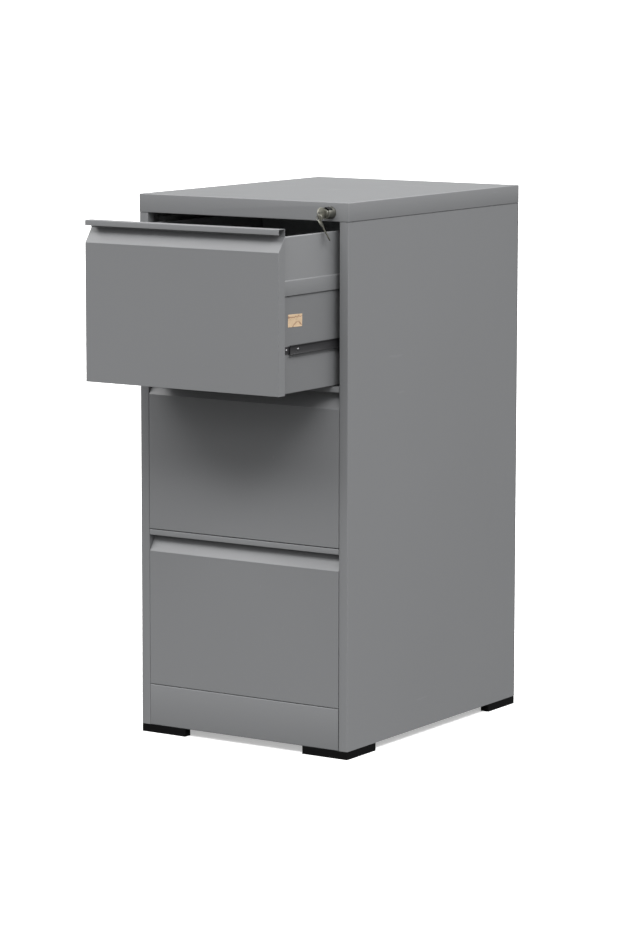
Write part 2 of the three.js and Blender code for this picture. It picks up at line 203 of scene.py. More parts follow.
# ---------------------------------------------------------------- outlines


def flat(point):
    """The point as a plane vector."""
    return Vector((point[0], point[1]))


def moved_right(path, distance):
    """The path moved to its right, with mitred corners."""
    points = [flat(p) for p in path]
    rights = []
    for a, b in zip(points, points[1:]):
        way = (b - a).normalized()
        rights.append(Vector((way.y, -way.x)))
    out = []
    for i, point in enumerate(points):
        before = rights[max(i - 1, 0)]
        after = rights[min(i, len(rights) - 1)]
        out.append(point + (before + after) * (distance / (1 + before.dot(after))))
    return out


def filleted(path, radii, steps):
    """The path with each inner corner rounded to its own radius."""
    points = [flat(p) for p in path]
    out = [points[0]]
    for i in range(1, len(points) - 1):
        into = (points[i] - points[i - 1]).normalized()
        away = (points[i + 1] - points[i]).normalized()
        turn = into.angle_signed(away, 0.0)
        radius = radii[i - 1]
        if abs(turn) < 1e-4 or radius <= 0:
            out.append(points[i])
            continue
        reach = radius * math.tan(abs(turn) / 2)
        start = points[i] - into * reach
        side = -1 if turn > 0 else 1
        normal = Vector((-into.y, into.x)) * side
        centre = start + normal * radius
        for k in range(steps + 1):
            angle = -turn * k / steps
            arm = start - centre
            c, s = math.cos(angle), math.sin(angle)
            out.append(centre + Vector((arm.x * c - arm.y * s, arm.x * s + arm.y * c)))
    out.append(points[-1])
    return out


def folded(path, gauge=SHEET, bend=BEND):
    """The section of a folded sheet, whose thickness lies to the right of the path (left if negative)."""
    other = moved_right(path, gauge)
    radii, other_radii = [], []
    for i in range(1, len(path) - 1):
        into = flat(path[i]) - flat(path[i - 1])
        away = flat(path[i + 1]) - flat(path[i])
        right_turn = into.x * away.y - into.y * away.x < 0
        inside = right_turn == (gauge > 0)
        radii.append(bend + abs(gauge) if inside else bend)
        other_radii.append(bend if inside else bend + abs(gauge))
    return filleted(path, radii, BEND_STEPS) + filleted(other, other_radii, BEND_STEPS)[::-1]


def flipped(outline, side):
    """The outline, mirrored for the left side."""
    return [(side * p[0], p[1]) for p in outline]


def shifted(outline, a, b):
    """The outline, moved by (a, b)."""
    return [(p[0] + a, p[1] + b) for p in outline]


def arc(centre, radius, start, end, steps):
    """Points on an arc, angles in degrees."""
    out = []
    for k in range(steps + 1):
        angle = math.radians(start + (end - start) * k / steps)
        out.append((centre[0] + radius * math.cos(angle), centre[1] + radius * math.sin(angle)))
    return out


# ---------------------------------------------------------------- meshes


def finished(name, bm, smooth_angle=SMOOTH_ANGLE):
    """A mesh object, in metres, from a bmesh drawn in millimetres."""
    bmesh.ops.remove_doubles(bm, verts=bm.verts, dist=1e-4)
    bmesh.ops.recalc_face_normals(bm, faces=bm.faces)
    bmesh.ops.scale(bm, vec=(MM, MM, MM), verts=bm.verts)
    mesh = bpy.data.meshes.new(name)
    bm.to_mesh(mesh)
    bm.free()
    for polygon in mesh.polygons:
        polygon.use_smooth = True
    mesh.set_sharp_from_angle(angle=math.radians(smooth_angle))
    obj = bpy.data.objects.new(name, mesh)
    bpy.context.scene.collection.objects.link(obj)
    return obj


def add_loops(bm, loops, closed=True, capped=True):
    """Skins a row of point loops into the bmesh."""
    rings = [[bm.verts.new(p) for p in loop] for loop in loops]
    count = len(rings[0])
    last = count if closed else count - 1
    for a, b in zip(rings, rings[1:]):
        for i in range(last):
            j = (i + 1) % count
            bm.faces.new((a[i], a[j], b[j], b[i]))
    if capped:
        caps = [bm.faces.new(rings[0][::-1]), bm.faces.new(rings[-1])]
        for cap in caps:
            cap.normal_update()
        bmesh.ops.triangulate(bm, faces=caps, ngon_method="EAR_CLIP")


def place(point, axis, along):
    """A point of an outline drawn across an axis, at a distance along it."""
    a, b = point[0], point[1]
    return {"X": (along, a, b), "Y": (a, along, b), "Z": (a, b, along)}[axis]


def prism(name, outline, axis, span):
    """A piece with one outline all along an axis."""
    bm = bmesh.new()
    add_loops(bm, [[place(p, axis, at) for p in outline] for at in span])
    return finished(name, bm)


def add_lathe(bm, profile, centre, axis, segments):
    """Turns (radius, along) points about an axis through the centre; the ends may lie on the axis."""
    rings = []
    for k in range(segments):
        angle = 2 * math.pi * k / segments
        ring = []
        for radius, along in profile:
            u, v = radius * math.cos(angle), radius * math.sin(angle)
            local = {"X": (along, u, v), "Y": (u, along, v), "Z": (u, v, along)}[axis]
            ring.append([centre[i] + local[i] for i in range(3)])
        rings.append(ring)
    rings.append(rings[0])
    add_loops(bm, rings, closed=False, capped=False)


def lathe(name, profile, centre, segments=64):
    """A piece turned about the Y axis through the centre."""
    bm = bmesh.new()
    add_lathe(bm, profile, centre, "Y", segments)
    return finished(name, bm)


def soften(obj, width, segments=2, angle=35):
    """Rounds the hard edges of a piece by a real bevel."""
    bevel = obj.modifiers.new("soft_edges", "BEVEL")
    bevel.width = width * MM
    bevel.segments = segments
    bevel.limit_method = "ANGLE"
    bevel.angle_limit = math.radians(angle)
    bevel.use_clamp_overlap = True


def drill(obj, tool):
    """Cuts a closed tool out of a piece and throws the tool away."""
    cutter = obj.modifiers.new("hole", "BOOLEAN")
    cutter.operation = "DIFFERENCE"
    cutter.solver = "EXACT"
    cutter.object = tool
    graph = bpy.context.evaluated_depsgraph_get()
    mesh = bpy.data.meshes.new_from_object(obj.evaluated_get(graph))
    obj.modifiers.clear()
    obj.data = mesh
    bpy.data.objects.remove(tool)
    mesh.set_sharp_from_angle(angle=math.radians(SMOOTH_ANGLE))


# ---------------------------------------------------------------- materials


class Nodes:
    """A short way to build a material's node tree."""

    def __init__(self, name):
        self.material = bpy.data.materials.new(name)
        self.material.use_nodes = True
        self.tree = self.material.node_tree
        self.tree.nodes.clear()
        self.output = self.tree.nodes.new("ShaderNodeOutputMaterial")
        self.shader = self.add("ShaderNodeBsdfPrincipled")
        self.link(self.shader.outputs["BSDF"], self.output.inputs["Surface"])
        self.coords = self.add("ShaderNodeTexCoord").outputs["Object"]

    def add(self, kind, **settings):
        """A new node with its properties set."""
        node = self.tree.nodes.new(kind)
        for key, value in settings.items():
            setattr(node, key, value)
        return node

    def link(self, source, target):
        self.tree.links.new(source, target)

    def noise(self, scale, detail=2.0, roughness=0.5, stretch=None):
        """Noise in the object's own metres, scaled along its axes if stretch is given."""
        node = self.add("ShaderNodeTexNoise")
        node.inputs["Scale"].default_value = scale
        node.inputs["Detail"].default_value = detail
        node.inputs["Roughness"].default_value = roughness
        source = self.coords
        if stretch:
            mapping = self.add("ShaderNodeMapping")
            mapping.inputs["Scale"].default_value = stretch
            self.link(self.coords, mapping.inputs["Vector"])
            source = mapping.outputs["Vector"]
        self.link(source, node.inputs["Vector"])
        return node.outputs["Fac"]

    def ramp(self, source, low, high, out_low=0.0, out_high=1.0):
        """Takes low to high of the source to out_low to out_high, and holds it there."""
        node = self.add("ShaderNodeMapRange")
        node.inputs["From Min"].default_value = low
        node.inputs["From Max"].default_value = high
        node.inputs["To Min"].default_value = out_low
        node.inputs["To Max"].default_value = out_high
        self.link(source, node.inputs["Value"])
        return node.outputs["Result"]

    def math(self, operation, a, b=None):
        """A sum on sockets or numbers."""
        node = self.add("ShaderNodeMath", operation=operation)
        for socket, value in zip(node.inputs, (a, b)):
            if isinstance(value, (int, float)):
                socket.default_value = value
            elif value is not None:
                self.link(value, socket)
        return node.outputs["Value"]

    def mix(self, factor, a, b):
        """The colour between a and b."""
        node = self.add("ShaderNodeMix", data_type="RGBA")
        for socket, value in ((node.inputs[0], factor), (node.inputs[6], a), (node.inputs[7], b)):
            if isinstance(value, (int, float)):
                socket.default_value = value
            elif isinstance(value, tuple):
                socket.default_value = (*value, 1.0)
            else:
                self.link(value, socket)
        return node.outputs[2]

    def bump(self, *layers):
        """Bump from (height, distance in mm, strength) layers."""
        normal = None
        for height, distance, strength in layers:
            node = self.add("ShaderNodeBump")
            node.inputs["Distance"].default_value = distance * MM
            node.inputs["Strength"].default_value = strength
            self.link(height, node.inputs["Height"])
            if normal:
                self.link(normal, node.inputs["Normal"])
            normal = node.outputs["Normal"]
        self.link(normal, self.shader.inputs["Normal"])

    def set(self, **values):
        """Sets inputs of the shader, with _ for each space in their names."""
        for key, value in values.items():
            self.shader.inputs[key.replace("_", " ")].default_value = value

    def done(self, color, roughness):
        """Connects colour and roughness, and gives the material."""
        self.link(color, self.shader.inputs["Base Color"])
        self.link(roughness, self.shader.inputs["Roughness"])
        return self.material


def scaled(color, factor):
    """The colour, made lighter or darker."""
    return tuple(c * factor for c in color)


def powder_coat(name, color):
    """Satin powder coat: orange peel, fine speckle, faint clouding, handling marks and hairlines."""
    n = Nodes(name)
    clouds = n.ramp(n.noise(2.6, 3.0), 0.3, 0.7)
    speckle = n.ramp(n.noise(1500.0, 1.0), 0.35, 0.65)
    marks = n.ramp(n.noise(9.0, 6.0, 0.62), 0.58, 0.74)
    hairline = n.noise(260.0, 2.0, 0.5, stretch=(1.0, 0.03, 0.22))
    hairlines = n.ramp(hairline, 0.735, 0.75)
    base = n.mix(clouds, scaled(color, 0.985), scaled(color, 1.015))
    base = n.mix(n.math("MULTIPLY", speckle, 0.5), base, scaled(color, 1.045))
    base = n.mix(n.math("MULTIPLY", hairlines, 0.22), base, scaled(color, 1.35))
    rough = n.ramp(marks, 0.0, 1.0, 0.42, 0.38)
    peel = n.noise(620.0, 1.5, 0.45)
    grit = n.noise(2400.0, 1.0)
    n.bump((peel, 0.05, 0.55), (grit, 0.012, 0.5), (hairlines, 0.01, -0.5))
    n.set(Metallic=0.0, IOR=1.46, Specular_IOR_Level=0.5)
    return n.done(base, rough)


def moulded_plastic(name, color):
    """Black injection-moulded plastic with a spark-eroded grain and pale scuffs."""
    n = Nodes(name)
    scuffs = n.ramp(n.noise(70.0, 5.0, 0.7), 0.6, 0.78)
    base = n.mix(n.math("MULTIPLY", scuffs, 0.35), color, scaled(color, 2.6))
    rough = n.ramp(n.noise(240.0, 3.0), 0.3, 0.7, 0.46, 0.6)
    n.bump((n.noise(1300.0, 2.0), 0.03, 0.6))
    n.set(IOR=1.5, Specular_IOR_Level=0.1)
    return n.done(base, rough)


def plated_steel(name, color, roughness, brush=(1.0, 1.0, 1.0)):
    """Plated steel with a rolled grain, faint spangle and patchy polish."""
    n = Nodes(name)
    grain = n.noise(900.0, 3.0, 0.6, stretch=brush)
    patches = n.noise(60.0, 3.0)
    base = n.mix(n.ramp(patches, 0.35, 0.65), scaled(color, 0.94), scaled(color, 1.06))
    rough = n.ramp(grain, 0.3, 0.7, roughness * 0.8, roughness * 1.25)
    n.bump((grain, 0.01, 0.5))
    n.set(Metallic=1.0)
    return n.done(base, rough)


def black_coat(name, color):
    """Thin black electro-coat over steel, rubbed along its length."""
    n = Nodes(name)
    rub = n.ramp(n.noise(300.0, 4.0, 0.6, stretch=(1.0, 0.02, 1.0)), 0.55, 0.8)
    base = n.mix(n.math("MULTIPLY", rub, 0.5), color, scaled(color, 2.4))
    rough = n.ramp(n.noise(500.0, 2.0), 0.3, 0.7, 0.3, 0.42)
    n.bump((n.noise(1400.0, 1.0), 0.015, 0.4))
    n.set(IOR=1.5)
    return n.done(base, rough)


def printed_paper(name, paper, ink, centre, half):
    """A tan paper sticker: mottled fibre, a faint border and three loose brown strokes."""
    n = Nodes(name)
    split = n.add("ShaderNodeSeparateXYZ")
    n.link(n.coords, split.inputs["Vector"])
    u = n.math("DIVIDE", n.math("SUBTRACT", split.outputs["Y"], centre.y), half[0] * MM)
    v = n.math("DIVIDE", n.math("SUBTRACT", split.outputs["Z"], centre.z), half[1] * MM)
    wobble = n.math("MULTIPLY", n.math("SUBTRACT", n.noise(160.0, 2.0), 0.5), 0.8)

    def stroke(height, width):
        away = n.math("ABSOLUTE", n.math("SUBTRACT", v, n.math("ADD", height, wobble)))
        return n.ramp(away, width * 0.5, width, 1.0, 0.0)

    upper = stroke(n.math("MULTIPLY", u, -0.12), 0.16)
    upper = n.math("MULTIPLY", upper, n.ramp(v, 0.1, 0.3))
    peak = n.math("MULTIPLY", n.math("ABSOLUTE", n.math("SUBTRACT", u, 0.35)), -1.1)
    lower = n.math("MULTIPLY", stroke(n.math("ADD", peak, -0.1), 0.14), n.ramp(v, -0.05, -0.25))
    top = stroke(0.62, 0.13)
    rim = n.ramp(n.math("MAXIMUM", n.math("ABSOLUTE", u), n.math("ABSOLUTE", v)), 0.9, 0.95)
    fibre = n.ramp(n.noise(1800.0, 4.0, 0.6), 0.3, 0.7)
    stain = n.ramp(n.noise(90.0, 3.0), 0.4, 0.65)
    base = n.mix(fibre, scaled(paper, 0.95), scaled(paper, 1.05))
    base = n.mix(n.math("MULTIPLY", stain, 0.35), base, scaled(paper, 0.66))
    base = n.mix(n.math("MULTIPLY", rim, 0.5), base, scaled(paper, 1.3))
    marks = n.math("MAXIMUM", n.math("MAXIMUM", upper, lower), top)
    base = n.mix(n.math("MULTIPLY", marks, 0.7), base, ink)
    rough = n.ramp(fibre, 0.0, 1.0, 0.7, 0.82)
    n.bump((fibre, 0.02, 0.5))
    return n.done(base, rough)


PAINT = powder_coat("powder_coat_grey", (0.157, 0.16, 0.164))
PLASTIC = moulded_plastic("foot_plastic", (0.0028, 0.0028, 0.003))
ZINC = plated_steel("zinc_plate", (0.62, 0.64, 0.67), 0.34)
BRIGHT = plated_steel("bright_steel", (0.72, 0.73, 0.74), 0.22)
CHROME = plated_steel("lock_chrome", (0.21, 0.208, 0.185), 0.42)
KEY_METAL = plated_steel("key_nickel", (0.29, 0.285, 0.245), 0.5, brush=(1.0, 0.2, 0.2))
# The spare key's nickel is the key's nickel made darker: painted shade on the hanging key.
SPARE_NICKEL_SHADED = plated_steel("spare_key_nickel_shaded", (0.17, 0.167, 0.143), 0.5, brush=(1.0, 0.2, 0.2))
SCREW = plated_steel("screw_zinc", (0.30, 0.30, 0.31), 0.3)
SLIDE = black_coat("slide_black", (0.021, 0.021, 0.0225))
LABEL_HALF = (22.8, 11.4)
LABEL_CENTRE = (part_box("side_label")[0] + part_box("side_label")[1]) / 2
PAPER = printed_paper("label_paper", (0.5, 0.365, 0.235), (0.19, 0.09, 0.05), LABEL_CENTRE, LABEL_HALF)


def dress(obj, material, body, slot, *nodes):
    """Gives a new piece its material and body, and hides the CAD nodes that it stands for."""
    obj.data.materials.append(material)
    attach(obj, body)
    if nodes:
        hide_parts(*nodes)


def repaint(node, material):
    """Gives a kept CAD node its material."""
    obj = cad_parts[node]
    obj.data.materials.clear()
    obj.data.materials.append(material)


# ---------------------------------------------------------------- camera, light and floor

# metres and degrees; the sky is (height from straight down at -1 to straight up at 1, brightness) points
CAMERA_AT = (3.7563, -5.7199, 1.4842)
CAMERA_YAW = 33.198
CAMERA_DOWN = 8.1157
CAMERA_ROLL = 0.0577
LENS = 139.99
SKY = (
    (-1.0, 0.14), (-0.05, 0.14), (-0.02, 1.41), (0.12, 1.41), (0.28, 0.85),
    (0.42, 2.26), (0.56, 0.52), (0.7, 16.6), (0.85, 0.45), (1.0, 0.0),
)
BRIGHT_SIDE = (0.76, -0.65, 0.0)
DIM_SIDE_SHARE = 0.2
FLOOR = (0.75, 0.75, 0.75)
FLOOR_GLOW = 0.4
FLOOR_HALF = 300000.0


def add_camera():
    """A long lens, higher than the cabinet, that looks down on it from its front right."""
    data = bpy.data.cameras.new("camera")
    data.sensor_width = 36.0
    data.lens = LENS
    data.clip_end = 1000.0
    camera = bpy.data.objects.new("camera", data)
    yaw = math.radians(CAMERA_YAW)
    down = math.radians(CAMERA_DOWN)
    turn = Matrix.Rotation(yaw, 4, "Z") @ Matrix.Rotation(math.pi / 2 - down, 4, "X")
    roll = Matrix.Rotation(math.radians(CAMERA_ROLL), 4, "Z")
    camera.matrix_world = Matrix.Translation(CAMERA_AT) @ turn @ roll
    bpy.context.scene.collection.objects.link(camera)
    bpy.context.scene.camera = camera


def add_sky():
    """A white studio sky: rings of light above the horizon, brighter on the front right side."""
    world = bpy.data.worlds.new("studio")
    world.use_nodes = True
    tree = world.node_tree
    background = tree.nodes["Background"]
    direction = tree.nodes.new("ShaderNodeTexCoord").outputs["Generated"]
    split = tree.nodes.new("ShaderNodeSeparateXYZ")
    tree.links.new(direction, split.inputs["Vector"])
    height = tree.nodes.new("ShaderNodeMapRange")
    height.inputs["From Min"].default_value = -1.0
    tree.links.new(split.outputs["Z"], height.inputs["Value"])
    ramp = tree.nodes.new("ShaderNodeValToRGB")
    tree.links.new(height.outputs["Result"], ramp.inputs["Fac"])
    peak = max(level for _, level in SKY)
    stops = ramp.color_ramp.elements
    while len(stops) < len(SKY):
        stops.new(1.0)
    for stop, (rise, level) in zip(stops, SKY):
        stop.position = (rise + 1) / 2
        stop.color = (level / peak, level / peak, level / peak, 1.0)
    tree.links.new(ramp.outputs["Color"], background.inputs["Color"])
    facing = tree.nodes.new("ShaderNodeVectorMath")
    facing.operation = "DOT_PRODUCT"
    facing.inputs[1].default_value = BRIGHT_SIDE
    tree.links.new(direction, facing.inputs[0])
    share = tree.nodes.new("ShaderNodeMapRange")
    share.inputs["From Min"].default_value = -1.0
    share.inputs["To Min"].default_value = peak * DIM_SIDE_SHARE
    share.inputs["To Max"].default_value = peak
    tree.links.new(facing.outputs["Value"], share.inputs["Value"])
    tree.links.new(share.outputs["Result"], background.inputs["Strength"])
    bpy.context.scene.world = world


def add_floor():
    """A wide pale floor, lit a little from within, that takes faint shadows and throws no light back."""
    bm = bmesh.new()
    half = FLOOR_HALF
    corners = ((-half, -half, 0), (half, -half, 0), (half, half, 0), (-half, half, 0))
    bm.faces.new([bm.verts.new(c) for c in corners])
    floor = finished("floor", bm)
    n = Nodes("floor_pale")
    tone = n.mix(n.ramp(n.noise(0.6, 2.0), 0.3, 0.7), scaled(FLOOR, 0.99), scaled(FLOOR, 1.01))
    rough = n.ramp(n.noise(3.0, 2.0), 0.3, 0.7, 0.85, 0.95)
    n.set(Emission_Color=(1.0, 1.0, 1.0, 1.0), Emission_Strength=FLOOR_GLOW)
    floor.data.materials.append(n.done(tone, rough))
    floor.visible_diffuse = False
    floor.visible_glossy = False
    floor.visible_shadow = False


# ---------------------------------------------------------------- case


def build_side(word, side):
    """One sheet: side, front stile with its return, and rear flange."""
    end = BACK_Y - BACK_INSET
    path = [
        (OPENING_HALF, FRONT_Y + STILE_RETURN),
        (OPENING_HALF, FRONT_Y),
        (CASE_HALF, FRONT_Y),
        (CASE_HALF, end),
        (CASE_HALF - REAR_FLANGE, end),
    ]
    outline = flipped(folded(path, -SHEET), side)
    panel = prism(f"{word}_side", outline, "Z", (CASE_LOW, CASE_HIGH))
    dress(panel, PAINT, "case", "body_paint", f"{word}_side_panel")


def cap_loop(inset, z):
    """A level loop, inset from the cap's outline, with rounded corners."""
    x, y0, y1 = CAP_HALF - inset, FRONT_Y + inset, BACK_Y - inset
    r = max(CAP_CORNER - inset, 0.4)
    centres = ((x - r, y1 - r), (r - x, y1 - r), (r - x, y0 + r), (x - r, y0 + r))
    loop = []
    for quarter, centre in enumerate(centres):
        loop += [(a, b, z) for a, b in arc(centre, r, 90 * quarter, 90 * quarter + 90, 5)]
    return loop


def build_cap():
    """The lid: flat top, fascia with rounded folds, and a flange turned in under it."""
    outer = BEND + SHEET
    low, high = CAP_LOW + outer, CAP_HIGH - outer
    section = [(CAP_TOP_SEAM, CAP_HIGH - SHEET)]
    section += [(outer - a, b) for a, b in arc((0, high), BEND, 90, 0, 4)]
    section += [(outer - a, b) for a, b in arc((0, low), BEND, 0, -90, 4)]
    section += [(CAP_TURN_IN, CAP_LOW + SHEET), (CAP_TURN_IN, CAP_LOW)]
    section += [(outer - a, b) for a, b in arc((0, low), outer, -90, 0, 4)]
    section += [(outer - a, b) for a, b in arc((0, high), outer, 0, 90, 4)]
    section += [(CAP_TOP_SEAM, CAP_HIGH)]
    bm = bmesh.new()
    add_loops(bm, [cap_loop(inset, z) for inset, z in section])
    cap = finished("top_lid", bm)
    lock_x, lock_z = lock_axis()
    near, far = FRONT_Y - 6, FRONT_Y + 6
    profile = [(0, near), (LOCK_HOLE, near), (LOCK_HOLE, far), (0, far)]
    drill(cap, lathe("hole_tool", profile, (lock_x, 0, lock_z)))
    dress(cap, PAINT, "case", "body_paint", "top_cap")


def lock_axis():
    """Where the lock's axis is, as x and z."""
    low, high = box_mm("lock_housing")
    return (low.x + high.x) / 2, (low.z + high.z) / 2


def build_plinth():
    """The folded panel under the bottom drawer, with a seam at each stile."""
    low, high = box_mm("plinth_panel")
    inner = low.y + PLINTH_RETURN
    path = [(inner, low.z), (low.y, low.z), (low.y, high.z), (inner, high.z)]
    plinth = prism("plinth", folded(path, SHEET), "X", (low.x + PLINTH_GAP, high.x - PLINTH_GAP))
    dress(plinth, PAINT, "case", "body_paint", "plinth_panel")


def build_back():
    """The back sheet, with two shallow pressed fields that stiffen it, and its rivets."""
    low, high = box_mm("back_panel")
    xs = (low.x, low.x + BACK_BORDER, high.x - BACK_BORDER, high.x)
    zs = (low.z, low.z + BACK_BORDER, *BACK_FIELD_ENDS, high.z - BACK_BORDER, high.z)
    bm = bmesh.new()

    def skin(y):
        """One face of the sheet. Returns its rim."""
        def at(x, z, press=0.0):
            return bm.verts.new((x, y - press, z))

        grid = [[at(x, z) for x in xs] for z in zs]
        for row in range(len(zs) - 1):
            for col in range(len(xs) - 1):
                quad = [grid[row][col], grid[row][col + 1], grid[row + 1][col + 1], grid[row + 1][col]]
                if col == 1 and row in (1, 3):
                    x0, x1 = xs[1] + BACK_EASE, xs[2] - BACK_EASE
                    z0, z1 = zs[row] + BACK_EASE, zs[row + 1] - BACK_EASE
                    inner = [at(x, z, BACK_PRESS) for x, z in ((x0, z0), (x1, z0), (x1, z1), (x0, z1))]
                    for i in range(4):
                        j = (i + 1) % 4
                        bm.faces.new((quad[i], quad[j], inner[j], inner[i]))
                    bm.faces.new(inner)
                else:
                    bm.faces.new(quad)
        rim = grid[0] + [line[-1] for line in grid[1:]]
        return rim + grid[-1][-2::-1] + [line[0] for line in grid[-2:0:-1]]

    outside, inside = skin(high.y), skin(low.y)
    for i in range(len(outside)):
        j = (i + 1) % len(outside)
        bm.faces.new((outside[i], outside[j], inside[j], inside[i]))
    back = finished("back_sheet", bm, 20)
    soften(back, 1.6, 3, 8)
    dress(back, PAINT, "case", "body_paint", "back_panel")

    bm = bmesh.new()
    pitch = (high.z - low.z - 2 * RIVET_END) / (RIVETS - 1)
    for side in SIDES.values():
        for k in range(RIVETS):
            centre = (side * (high.x - RIVET_INSET), high.y, low.z + RIVET_END + k * pitch)
            add_lathe(bm, RIVET_DOME, centre, "Y", 20)
    dress(finished("back_rivets", bm), PAINT, "case", "body_paint")


def build_feet():
    """Moulded L-shaped corner pads with rounded edges."""
    for corner in CORNERS:
        low, high = box_mm(f"foot_{corner}")
        right, rear = "right" in corner, "rear" in corner
        x_out, sx = (high.x, -1) if right else (low.x, 1)
        y_out, sy = (high.y, -1) if rear else (low.y, 1)
        leg, width = high.x - low.x, FOOT_WIDTH
        corners = [(0, 0), (leg, 0), (leg, width), (width, width), (width, leg), (0, leg)]
        path = [(leg / 2, 0), *corners[1:], corners[0], (leg / 2, 0)]
        radii = [FOOT_NOSE, FOOT_NOSE, FOOT_INNER, FOOT_NOSE, FOOT_NOSE, FOOT_NOSE]
        outline = [(x_out + sx * a, y_out + sy * b) for a, b in filleted(path, radii, 4)[:-1]]
        foot = prism(f"foot_pad_{corner}", outline, "Z", (low.z, high.z))
        soften(foot, 0.7, 3, 40)
        dress(foot, PLASTIC, "case", "foot_plastic", f"foot_{corner}")


# ---------------------------------------------------------------- drawers


def build_drawer(n):
    """A drawer: its face with the sloped finger recess, the hooked lip over it, and the ribbed tray."""
    body = f"drawer_{n}"
    low, high = box_mm(f"{body}_front")
    front, base = low.y, low.z
    width = (-high.x, high.x)
    top = high.z - base

    wall = PANEL_DEPTH - SHEET
    face = [(0, 0), (0, FACE_TOP), (wall, SLOPE_TOP), (PANEL_DEPTH, SLOPE_TOP), (PANEL_DEPTH, 0)]
    panel = prism(f"{body}_face", shifted(face, front, base), "X", width)
    soften(panel, 0.6, 3, 25)
    dress(panel, PAINT, body, "body_paint", f"{body}_front", f"{body}_front_liner")

    path = [(wall, SLOPE_TOP - 0.4), (wall, top - SHEET), (SHEET, top - SHEET), (SHEET, LIP_FOOT)]
    lip = prism(f"{body}_lip", shifted(folded(path, SHEET, LIP_BEND), front, base), "X", width)
    dress(lip, PAINT, body, "body_paint")

    low, high = box_mm(f"{body}_tray")
    side = high.x - TRAY_RIB_DEPTH
    rib_low, rib_high = (base + rise for rise in TRAY_RIB)
    right = [
        (side, low.z),
        (side, rib_low),
        (high.x, rib_low + TRAY_RIB_EASE),
        (high.x, rib_high - TRAY_RIB_EASE),
        (side, rib_high),
        (side, high.z),
        (side - TRAY_HEM, high.z),
        (side - TRAY_HEM, high.z - TRAY_HEM_DROP),
    ]
    path = [(-a, b) for a, b in reversed(right)] + right
    tray = prism(f"{body}_box", folded(path, -SHEET, TRAY_BEND), "Y", (low.y, high.y))
    dress(tray, PAINT, body, "body_paint", f"{body}_tray")
    repaint(f"{body}_back", PAINT)
    repaint(f"{body}_catch", ZINC)


def slide_members(n, word, side):
    """The fixed and moving members of one slide, both with rolled edges, and the tab and its screws."""
    node = f"case_slide_{n}_{word}"
    low, high = box_mm(node)
    mid = (low.z + high.z) / 2
    web = max(abs(low.x), abs(high.x))
    edge, bottom, top = web - RAIL_DEPTH, mid - RAIL_HALF, mid + RAIL_HALF
    path = [(edge, bottom), (web, bottom), (web, top), (edge, top)]
    outline = flipped(folded(path, -RAIL_GAUGE, RAIL_BEND), side)
    dress(prism(f"{node}_rolled", outline, "Y", (low.y, high.y)), SLIDE, "case", "slide_black", node)

    body = f"drawer_{n}"
    node = f"{body}_slide_{word}"
    low, high = box_mm(node)
    mid = (low.z + high.z) / 2
    web = min(abs(low.x), abs(high.x))
    raised, rim = web + CHANNEL_RAISED, web + CHANNEL_RIM
    bottom, top = mid - CHANNEL_HALF, mid + CHANNEL_HALF
    start = low.y + TAB_LENGTH
    path = [(rim, bottom), (raised, bottom), (raised, top), (rim, top)]
    outline = flipped(folded(path, RAIL_GAUGE, CHANNEL_BEND), side)
    dress(prism(f"{node}_rolled", outline, "Y", (start, high.y)), SLIDE, body, "slide_black", node)

    near, rise = low.y + TAB_CORNER, TAB_HALF - TAB_CORNER
    end = start + TAB_OVERLAP
    tab = [(end, mid - TAB_HALF), (end, mid + TAB_HALF)]
    tab += arc((near, mid + rise), TAB_CORNER, 90, 180, 4)
    tab += arc((near, mid - rise), TAB_CORNER, 180, 270, 4)
    plate = prism(f"{node}_tab", tab, "X", sorted((side * web, side * (web + RAIL_GAUGE))))
    soften(plate, 0.25, 2, 40)
    dress(plate, SLIDE, body, "slide_black")
    proud = RAIL_GAUGE + 0.05
    places = [(low.y + TAB_SCREW, web + proud), *((low.y + y, raised + proud) for y in CHANNEL_SCREWS)]
    dress(pan_screws(f"{node}_screws", side, places, mid), SCREW, body, "cage_steel")


def pan_screws(name, side, places, z):
    """Pan-head screws with a small socket, facing outwards, at (y, seat) places."""
    bm = bmesh.new()
    profile = [(radius, side * out) for radius, out in SCREW_HEAD]
    for y, seat in places:
        add_lathe(bm, profile, (side * seat, y, z), "X", 24)
    return finished(name, bm)


def ball_cage(n, word, side):
    """A thin retainer with two rows of steel balls."""
    node = f"ball_cage_{n}_{word}"
    body = f"ball_cages_{n}"
    low, high = box_mm(node)
    mid = (low.z + high.z) / 2
    near, far = sorted((abs(low.x), abs(high.x)))
    edge, bottom, top = near + CAGE_EDGE, mid - CAGE_HALF, mid + CAGE_HALF
    path = [(edge, bottom), (far, bottom), (far, top), (edge, top)]
    outline = flipped(folded(path, -CAGE_GAUGE, CAGE_BEND), side)
    dress(prism(f"{node}_strip", outline, "Y", (low.y, high.y)), ZINC, body, "cage_steel", node)
    bm = bmesh.new()
    for row in (-1, 1):
        for k in range(BALLS_A_ROW):
            centre = (side * (near + BALL_DEPTH), low.y + BALL_PITCH * (k + 0.5), mid + row * BALL_ROW)
            at = Matrix.Translation(centre)
            bmesh.ops.create_uvsphere(bm, u_segments=14, v_segments=9, radius=BALL_RADIUS, matrix=at)
    dress(finished(f"{node}_balls", bm), BRIGHT, body, "cage_steel")


